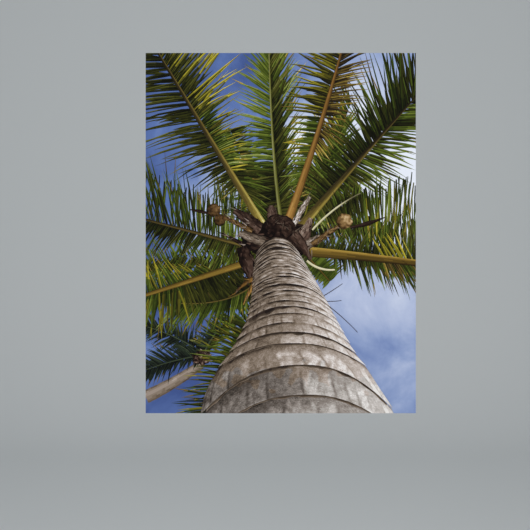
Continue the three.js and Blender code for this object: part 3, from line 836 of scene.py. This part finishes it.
def trunk_at(height):
    """The trunk's left edge, right edge, ring arch and tilt, on smooth curves through its
    stations."""
    last = len(TRUNK_STATIONS) - 1
    index = sum(station[0] <= height for station in TRUNK_STATIONS) - 1
    index = int(clamp(index, 0, last - 1))
    before, after = TRUNK_STATIONS[index], TRUNK_STATIONS[index + 1]
    lower, upper = TRUNK_STATIONS[max(index - 1, 0)], TRUNK_STATIONS[min(index + 2, last)]
    gap = after[0] - before[0]
    share = ramp(height, before[0], after[0])
    values = []
    for column in range(1, 5):
        leaving = (after[column] - lower[column]) / (after[0] - lower[0]) * gap
        arriving = (upper[column] - before[column]) / (upper[0] - before[0]) * gap
        swerve = share * (1 - share) * ((1 - share) * leaving - share * arriving)
        ease = share * share * (3 - 2 * share)
        values.append(mix(before[column], after[column], ease) + swerve)
    return values


def half_width_at(height):
    left, right, _, _ = trunk_at(height)
    return (right - left) / 2


def ring_point(height, across, flare=0.0):
    """A point of a ring: across runs from -1 at the trunk's left edge to 1 at its right."""
    left, right, arch, tilt = trunk_at(height)
    rise = arch * (1 - abs(across) ** ARCH_POWER) + tilt * across
    return (mix(left, right, (across + 1) / 2) + flare * across**9, height + rise)


def edge_of_crest(crest):
    """The height of the ends of the ring whose crest is at a given height."""
    low, high = TRUNK_STATIONS[0][0] - 300, crest
    for _ in range(40):
        middle = (low + high) / 2
        if middle + trunk_at(middle)[2] > crest:
            high = middle
        else:
            low = middle
    return (low + high) / 2


def trunk_rings(chance):
    """Crest and depth of every ring: the broad scars, with finer rings between them, which lie
    further apart towards the foot."""
    rings = []
    bounds = [(TRUNK_TOP, 0.5)] + [(crest, 0.55) for crest, _, _ in SCARS] + [(LOWEST_RING, 0.4)]
    for (upper, depth), (lower, _) in zip(bounds, bounds[1:]):
        rings.append((upper, depth))
        gap = RING_GAP + 0.0005 * upper * upper
        between = round((upper - lower) / gap) - 1
        for i in range(between):
            share = (i + 1 + chance.uniform(-0.25, 0.25)) / (between + 1)
            rings.append((mix(upper, lower, share), chance.uniform(0.3, 0.85)))
    return rings + [(LOWEST_RING, 0.4)]


class BarkBlocks:
    """The blocks that upright cracks part a ring's bark into, along its run in millimetres."""

    def __init__(self, half, shades, chance):
        self.edges = [-2.0 * half]
        while self.edges[-1] < 2.0 * half:
            self.edges.append(self.edges[-1] + BLOCK_SHARE * half * chance.uniform(0.45, 1.5))
        self.tones = [chance.choice(shades) for _ in self.edges]
        self.cracks = [chance.uniform(0.2, 1.0) for _ in self.edges]

    def at(self, run):
        """The block's tone here, the distance to its nearer crack, and that crack's depth."""
        index = bisect.bisect_right(self.edges, run) - 1
        start, end = run - self.edges[index], self.edges[index + 1] - run
        crack = self.cracks[index] if start < end else self.cracks[index + 1]
        return self.tones[index], min(start, end), crack


def bark_tone(ring, depth, blocks, below, above, side, half, point):
    """The bark's tone: below is the distance under the ring's crack and above the distance to the
    next, in millimetres, and side runs from -1 at the trunk's left edge to 1 at its right."""
    x, z = point
    run = math.asin(side) * half
    share = below / (below + above)
    lower_trunk = ramp(z, -130, -260)
    wander = mix(1.1, 1.8, lower_trunk) + 3.2 * lump(run, ring * 23, 26, 7)
    ragged = clamp(0.8 + 1.6 * lump(run, ring * 17, 30, 2), 0.05, 1.5)
    soft_crack = (1.0 + 1.8 * depth) * mix(1, 2.4, lower_trunk)
    crack = ragged * depth * math.exp(-(((below - wander) / soft_crack) ** 2))
    lip = math.exp(-((above / 3.6) ** 2)) * (0.7 + lump(run, ring * 11, 20, 8))
    tone = mix(*BARK_MIDDLE, lower_trunk) - mix(*RING_CRACK, lower_trunk) * crack
    tone += mix(*RING_LIP, lower_trunk) * lip
    tone += mix(*LIT_SIDE, lower_trunk) * clamp(side + 0.55, 0, 1.5) - 0.12 * clamp(-side) ** 12
    tone += mix(*FIBRES, lower_trunk) * lump(run, below * 7 + ring * 50, 17, 3)
    block, to_crack, crack_depth = blocks.at(run + 5 * lump(below, ring * 9, 14, 13))
    soft = 0.016 * half
    start = 0.28 + 0.3 * lump(run, ring * 5, 16, 15)
    patch = clamp(0.8 + 1.6 * lump(x, z, 15, 16), 0.3, 1)
    pale = block * patch * clamp((share - start) * 5) * clamp(to_crack / (2.2 * soft))
    tone += lower_trunk * (PALE_BLOCK * pale + 0.08 * clamp((share - 0.15) * 3) - 0.06)
    # The foot darkens downwards and to the left, with a pale patch at the left above it, and the
    # top lies in the crown's shade.
    tone -= FOOT_SHADE * ramp(z, -240, -300) + LEFT_SHADE * ramp(z, -345, -395) * clamp(0.7 - side)
    tone += LEFT_PATCH * clamp(1.3 - abs(z + 322) / 40) * clamp(-side)
    tone -= CROWN_SHADE * ramp(z, -70, -20)
    upright = crack_depth * math.exp(-((to_crack / soft) ** 2)) * clamp(share * 2.2 - 0.3)
    tone -= clamp(lower_trunk + 0.25) * UPRIGHT_CRACK * upright
    return tone + 0.1 * lump(x, z, 30, 5) + 0.1 * lump(x, z, 8, 14) + 0.1 * lump(x, z, 3, 6)


def build_trunk():
    """Bark in rings: a dark crack under each, fibres that run with it, and towards the foot pale
    blocks between upright cracks, weathered grey in patches. Each ring flares out a little at its
    lower edge."""
    chance = random.Random(71)
    ink = Ink("trunk")
    rings = trunk_rings(chance)
    places = [mix(-1, 1, i / TRUNK_COLUMNS) for i in range(TRUNK_COLUMNS + 1)]
    for ring, ((crest, depth), (next_crest, _)) in enumerate(zip(rings, rings[1:])):
        upper, lower = edge_of_crest(crest), edge_of_crest(next_crest)
        half = half_width_at(upper)
        blocks = BarkBlocks(half, BLOCK_SHADES[crest - next_crest > BROAD_RING], chance)
        rows = max(4, round((crest - next_crest) / mix(*ROW_HEIGHTS, clamp(-crest / 400))))
        flare = min(FLARE_SHARE * (upper - lower), FLARE_MOST)
        for row_index in range(rows):
            start, end = row_index / rows, (row_index + 1) / rows
            top, bottom = mix(upper, lower, start), mix(upper, lower, end)
            below = (crest - next_crest) * (start + end) / 2
            above = (crest - next_crest) - below
            for a, b in zip(places, places[1:]):
                side = (a + b) / 2
                point = ring_point((top + bottom) / 2, side)
                tone = bark_tone(ring, depth, blocks, below, above, side, half, point)
                corners = [
                    ring_point(top, a, flare * start**2),
                    ring_point(bottom, a, flare * end**2),
                    ring_point(bottom, b, flare * end**2),
                    ring_point(top, b, flare * start**2),
                ]
                weathered = (-point[1] - 300) / 120 + 0.6 * lump(*point, 26, 17)
                palette = "grey_bark" if weathered > 0.5 else "bark"
                ink.add(corners, palette, tone + chance.gauss(0, 0.03))
    for path in TWIGS:
        draw_band(ink, path, lambda share: mix(*TWIG_WIDTHS, share), ("fibre", 0.3, 0.35), [0.0],
                  lift=0.1)
    ink.piece("trunk_bark", "bark_ink")


def build_scar(number):
    """The broad crack under a ring: black at its top, and ragged and softer along its lower
    edge."""
    name = f"ring_scar_{number + 1}"
    ink = Ink(name)
    crest, widths, scar_tone = SCARS[number]
    height = edge_of_crest(crest)
    half = half_width_at(height)
    steps = round(half)

    def lines_at(share):
        across = mix(-SCAR_REACH, SCAR_REACH, share)
        x, z = ring_point(height, across)
        wide = mix_three(*widths, share)
        wide *= clamp(0.85 + 0.7 * lump(across * half, number * 40, 24, 4), 0.45, 1.2)
        top = z + 0.8 * lump(x, number, 9, 9)
        return [(x, top - wide * part) for part, _ in SCAR_SOFTNESS]

    for i in range(steps):
        near, far = lines_at(i / steps), lines_at((i + 1) / steps)
        for line, ((_, first), (_, second)) in enumerate(zip(SCAR_SOFTNESS, SCAR_SOFTNESS[1:])):
            tone = scar_tone + (first + second) / 2 + 0.12 * lump(i, number * 9 + line, 7, 5)
            tone += 1.2 * max(abs(i / steps - 0.5) * 2 - 0.86, 0)
            ink.add([near[line], near[line + 1], far[line + 1], far[line]], "bark", tone)
    ink.piece(f"{name}_drawn", "ring_scar_ink")


# Film and adhesive

CLOUD_SIZE_MM = 190
CLOUD_BANKS = [  # middle and reach in metres, and how much paler, or deeper, the sky is there
    ((0.28, 0.0, 0.16), 0.34, 0.34),
    ((0.2, 0.0, -0.19), 0.2, 0.19),
    ((-0.15, 0.0, 0.07), 0.2, 0.32),
    ((0.04, 0.0, 0.25), 0.13, 0.34),
    ((0.2, 0.0, 0.34), 0.13, 0.2),
    ((-0.12, 0.0, 0.42), 0.22, -0.13),
]
CLOUD_CONTRAST = 0.7
RIGHT_PALER = (-0.01, 0.2)  # how much paler the sky is at the sheet's left edge, and at its right
SKY_STOPS = [
    (0.28, "3c4e80"),
    (0.42, "566c9f"),
    (0.55, "8393b8"),
    (0.68, "a7b1cb"),
    (0.84, "d6dae4"),
]


def sky_ink():
    """Sky as printed: deep blue at the left, with soft white and lavender clouds to the right."""
    material, tree = new_material("sky_ink_on_film")
    place = add_node(tree, "ShaderNodeTexCoord")
    clouds = add_node(
        tree,
        "ShaderNodeTexNoise",
        {"Vector": place.outputs["Object"], "Scale": 1 / (CLOUD_SIZE_MM * MM), "Detail": 6.0,
         "Roughness": 0.56, "Distortion": 0.4},
    )
    apart = add_node(tree, "ShaderNodeSeparateXYZ", {"Vector": place.outputs["Object"]})
    cover = add_node(
        tree,
        "ShaderNodeMapRange",
        {"Value": apart.outputs["X"], "From Min": -HALF_WIDTH * MM, "From Max": HALF_WIDTH * MM,
         "To Min": RIGHT_PALER[0], "To Max": RIGHT_PALER[1]},
    ).outputs["Result"]
    cover = add_node(tree, "ShaderNodeMath",
                     {0: clouds.outputs["Fac"], 1: CLOUD_CONTRAST, 2: cover},
                     operation="MULTIPLY_ADD").outputs["Value"]
    for middle, reach, paler in CLOUD_BANKS:
        away = add_node(tree, "ShaderNodeVectorMath", {0: place.outputs["Object"], 1: middle},
                        operation="DISTANCE")
        bank = add_node(
            tree,
            "ShaderNodeMapRange",
            {"Value": away.outputs["Value"], "From Min": 0.0, "From Max": reach,
             "To Min": paler, "To Max": 0.0},
            interpolation_type="SMOOTHSTEP",
        )
        cover = add_node(tree, "ShaderNodeMath", {0: cover, 1: bank.outputs["Result"]},
                         operation="ADD").outputs["Value"]
    colours = add_node(tree, "ShaderNodeValToRGB", {"Fac": cover})
    stops = colours.color_ramp.elements
    while len(stops) < len(SKY_STOPS):
        stops.new(0.5)
    for element, (position, colour) in zip(stops, SKY_STOPS):
        element.position = position
        element.color = linear(colour)
    film_surface(tree, colours.outputs["Color"])
    return material


def plain_film(name, colour, roughness):
    """White calendered film as it shows at the cut edges, or the dull adhesive coat on its back."""
    material, tree = new_material(name)
    film_surface(tree, linear(colour), roughness)
    return material


def build_slab(name, node, slot, front, rest):
    """A thin sheet with square corners. Its front takes one material, and its other faces
    another."""
    low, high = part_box(node)
    corners = [(x, y, z) for y in (low.y, high.y) for z in (low.z, high.z) for x in (low.x, high.x)]
    faces = [(0, 1, 3, 2), (5, 4, 6, 7), (0, 4, 5, 1), (2, 3, 7, 6), (0, 2, 6, 4), (1, 5, 7, 3)]
    mesh = bpy.data.meshes.new(name)
    mesh.from_pydata(corners, [], faces)
    mesh.materials.append(front)
    mesh.materials.append(rest)
    mesh.polygons.foreach_set("material_index", [0, 1, 1, 1, 1, 1])
    mesh.update()
    return place_piece(name, mesh, slot, node)


# The scene

white_film = plain_film("white_pvc_film", "eceae6", EDGE_ROUGHNESS)
adhesive = plain_film("acrylic_adhesive_coat", "dcdad2", ADHESIVE_ROUGHNESS)
build_slab("film_sheet", "film", "printed_film", sky_ink(), white_film)
build_slab("adhesive_coat", "adhesive", "adhesive_back", adhesive, adhesive)
for first_seed, names, build in (
    (100, FRONDS, build_frond),
    (200, STRIPS, build_strip),
    (300, ROUNDS, build_round),
):
    for order, name in enumerate(names):
        build(name, first_seed + order)
build_trunk()
for number in range(len(SCARS)):
    build_scar(number)


# Stage: a pale floor that sweeps up into a backdrop, in metres.

STAGE_NEAR, STAGE_FAR = -6.0, 6.0
STAGE_HALF_WIDTH, STAGE_TOP = 16.0, 6.0
FLOOR_DROP = 1.6  # from the print's middle down to the floor
SWEEP_RADIUS = 2.0
SWEEP_STEPS = 12
PAPER_ROUGHNESS = 0.9


def build_stage():
    """A smooth sweep of matte paper, from the floor up into the backdrop."""
    bend_y = STAGE_FAR - SWEEP_RADIUS
    profile = [(STAGE_NEAR, -FLOOR_DROP), (bend_y, -FLOOR_DROP)]
    for i in range(1, SWEEP_STEPS + 1):
        angle = math.pi / 2 * i / SWEEP_STEPS
        profile.append((bend_y + SWEEP_RADIUS * math.sin(angle),
                        -FLOOR_DROP + SWEEP_RADIUS * (1 - math.cos(angle))))
    profile.append((STAGE_FAR, STAGE_TOP))
    points = [(x, y, z) for y, z in profile for x in (-STAGE_HALF_WIDTH, STAGE_HALF_WIDTH)]
    faces = [(2 * i, 2 * i + 1, 2 * i + 3, 2 * i + 2) for i in range(len(profile) - 1)]
    mesh = bpy.data.meshes.new("stage_sweep")
    mesh.from_pydata(points, [], faces)
    material, tree = new_material("pale_stage_paper")
    surface = add_node(tree, "ShaderNodeBsdfPrincipled",
                       {"Base Color": linear("dadddd"), "Roughness": PAPER_ROUGHNESS})
    add_node(tree, "ShaderNodeOutputMaterial", {"Surface": surface.outputs["BSDF"]})
    mesh.materials.append(material)
    mesh.polygons.foreach_set("use_smooth", [True] * len(faces))
    sweep = bpy.data.objects.new("stage_sweep", mesh)
    bpy.context.scene.collection.objects.link(sweep)


LIGHT_SIDE, LIGHT_FRONT, LIGHT_HEIGHT = 3.0, 3.2, 1.2  # metres from the print's middle
LIGHT_SIZE = 2.4  # metres
LIGHT_WATTS = 112
AMBIENT_STRENGTH = 0.45


def soft_light(name, place):
    """A square lamp that faces the print's middle."""
    data = bpy.data.lights.new(name, "AREA")
    data.shape = "SQUARE"
    data.size = LIGHT_SIZE
    data.energy = LIGHT_WATTS
    light = bpy.data.objects.new(name, data)
    light.location = place
    light.rotation_euler = (-Vector(place)).to_track_quat("-Z", "Y").to_euler()
    bpy.context.scene.collection.objects.link(light)


def build_light():
    """Two even lights from the front, one at each side, and pale light from all round."""
    soft_light("light_left", (-LIGHT_SIDE, -LIGHT_FRONT, LIGHT_HEIGHT))
    soft_light("light_right", (LIGHT_SIDE, -LIGHT_FRONT, LIGHT_HEIGHT))
    world = bpy.data.worlds.new("studio")
    bpy.context.scene.world = world
    world.use_nodes = True
    background = world.node_tree.nodes["Background"]
    background.inputs["Color"].default_value = linear("e6eaee")
    background.inputs["Strength"].default_value = AMBIENT_STRENGTH


PHOTO_WIDTH = 530  # pixels
PRINT_LEFT, PRINT_RIGHT = 145.7, 415.8  # the print's edges in the photo, in pixels
PRINT_TOP, PRINT_BOTTOM = 52.9, 413.3
LENS, SENSOR = 50, 36  # millimetres


def build_camera():
    """Square on to the print, a little left of its middle and below it, as in the photo."""
    scale = 2 * HALF_WIDTH * MM / (PRINT_RIGHT - PRINT_LEFT)
    x = (PHOTO_WIDTH - PRINT_LEFT - PRINT_RIGHT) / 2 * scale
    z = (PRINT_TOP + PRINT_BOTTOM - PHOTO_WIDTH) / 2 * scale
    data = bpy.data.cameras.new("camera")
    data.lens, data.sensor_width = LENS, SENSOR
    camera = bpy.data.objects.new("camera", data)
    camera.location = (x, -PHOTO_WIDTH * scale * LENS / SENSOR, z)
    camera.rotation_euler = (math.pi / 2, 0, 0)
    bpy.context.scene.collection.objects.link(camera)
    bpy.context.scene.camera = camera
    bpy.context.scene.view_settings.view_transform = "Standard"


build_stage()
build_light()
build_camera()
